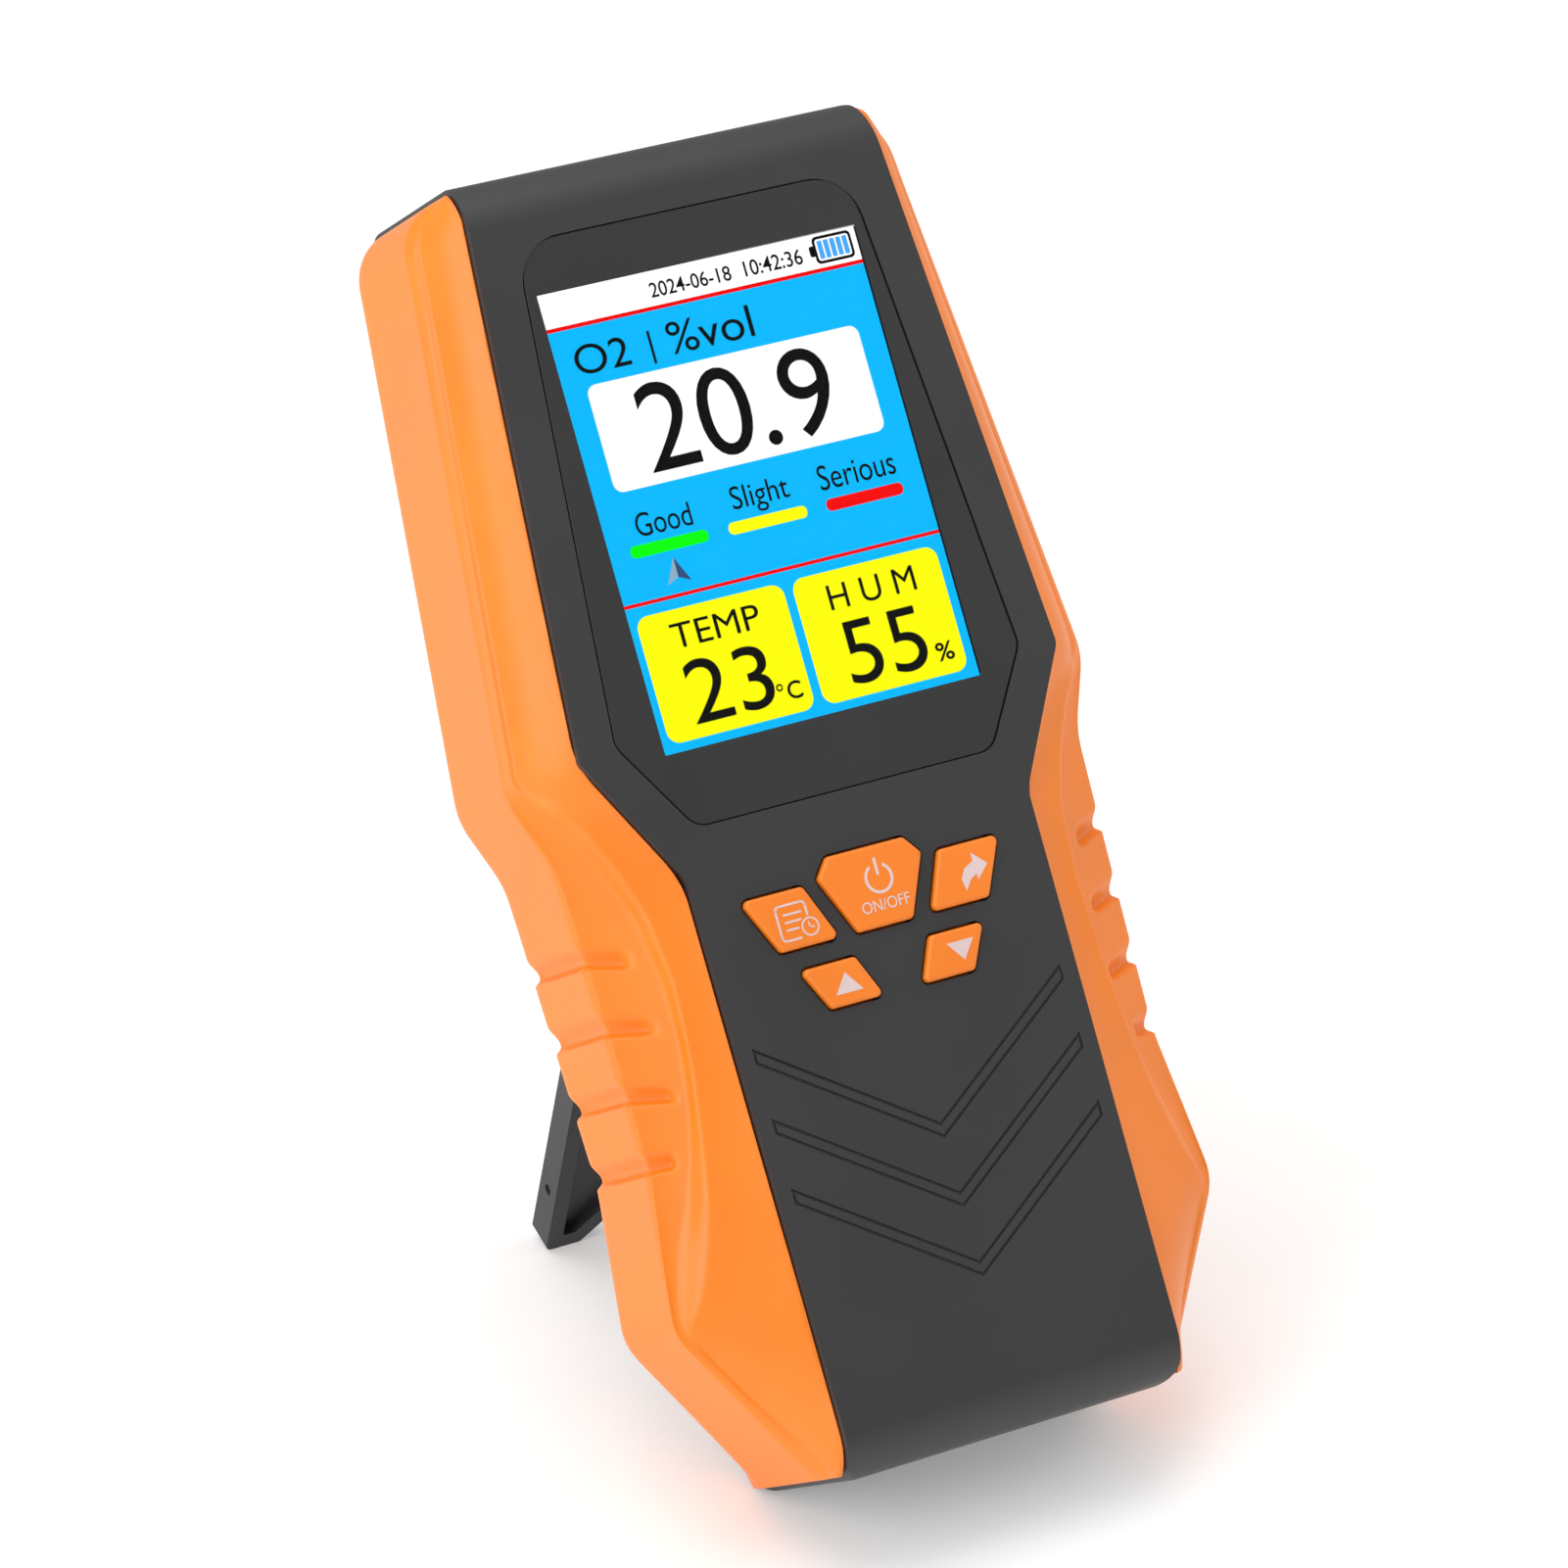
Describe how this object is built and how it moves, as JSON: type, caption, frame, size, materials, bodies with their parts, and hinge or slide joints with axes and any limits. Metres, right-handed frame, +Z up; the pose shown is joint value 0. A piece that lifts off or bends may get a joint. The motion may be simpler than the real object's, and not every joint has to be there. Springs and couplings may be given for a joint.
{
  "type": "portable gas detector",
  "caption": "Hand-held gas detector with a colour display, press keys, orange side grips and a fold-out stand that props it up at an angle.",
  "frame": {"origin": "middle of the footprint, on the surface that the heel and the open stand rest on", "axes": "+Z up, +Y from the display side towards the stand, +X to the right as seen from the display side"},
  "size_m": [0.0898, 0.1304, 0.1676],
  "materials": {
    "black_plastic": "fine matte grain",
    "orange_grip": "smooth satin",
    "orange_key": "smooth satin",
    "seal_rubber": "matt",
    "lens": "clear, polished",
    "foam": "matt foam",
    "display": "glossy",
    "white_plastic": "satin",
    "switch_plastic": "satin",
    "circuit_board": "solder-mask gloss",
    "cell_wrap": "shrink film",
    "sensor_body": "satin",
    "membrane": "matt",
    "steel": "plain zinc",
    "brass": "turned"
  },
  "bodies": {
    "case": {"front_shell": "black_plastic", "rear_shell": "black_plastic", "left_grip": "orange_grip", "right_grip": "orange_grip", "case_seal": "seal_rubber", "window_lens": "lens", "display_gasket": "foam", "display_panel": "display", "display_frame": "white_plastic", "key_mat": "seal_rubber", "tact_switches": "switch_plastic", "main_board": "circuit_board", "buzzer": "switch_plastic", "battery_cell": "cell_wrap", "battery_tray": "switch_plastic", "gas_sensor": "sensor_body", "sensor_holder": "white_plastic", "sensor_board": "circuit_board", "sensor_gasket": "seal_rubber", "sensor_filter": "membrane", "sensor_grille": "black_plastic", "climate_sensor": "circuit_board", "charge_port": "steel", "charge_board": "circuit_board", "case_screws": "steel", "threaded_inserts": "brass", "board_screws": "steel", "stand_pin": "steel"},
    "kickstand": {"kickstand": "black_plastic"},
    "key_power": {"key_power": "orange_key"},
    "key_log": {"key_log": "orange_key"},
    "key_forward": {"key_forward": "orange_key"},
    "key_up": {"key_up": "orange_key"},
    "key_down": {"key_down": "orange_key"}
  },
  "joints": [
    {"name": "stand_hinge", "type": "hinge", "parent": "case", "child": "kickstand", "pos_m": [0, 0.01007, 0.0697], "axis": [1, 0, 0], "range_deg": [-52.4, 0]},
    {"name": "power_press", "type": "slide", "parent": "case", "child": "key_power", "axis": [0, 0.8226, -0.5686], "range_m": [0, 0.0006], "stiffness_N_per_m": 2500},
    {"name": "log_press", "type": "slide", "parent": "case", "child": "key_log", "axis": [0, 0.8226, -0.5686], "range_m": [0, 0.0006], "stiffness_N_per_m": 2500},
    {"name": "forward_press", "type": "slide", "parent": "case", "child": "key_forward", "axis": [0, 0.8226, -0.5686], "range_m": [0, 0.0006], "stiffness_N_per_m": 2500},
    {"name": "up_press", "type": "slide", "parent": "case", "child": "key_up", "axis": [0, 0.8226, -0.5686], "range_m": [0, 0.0006], "stiffness_N_per_m": 2500},
    {"name": "down_press", "type": "slide", "parent": "case", "child": "key_down", "axis": [0, 0.8226, -0.5686], "range_m": [0, 0.0006], "stiffness_N_per_m": 2500}
  ]
}
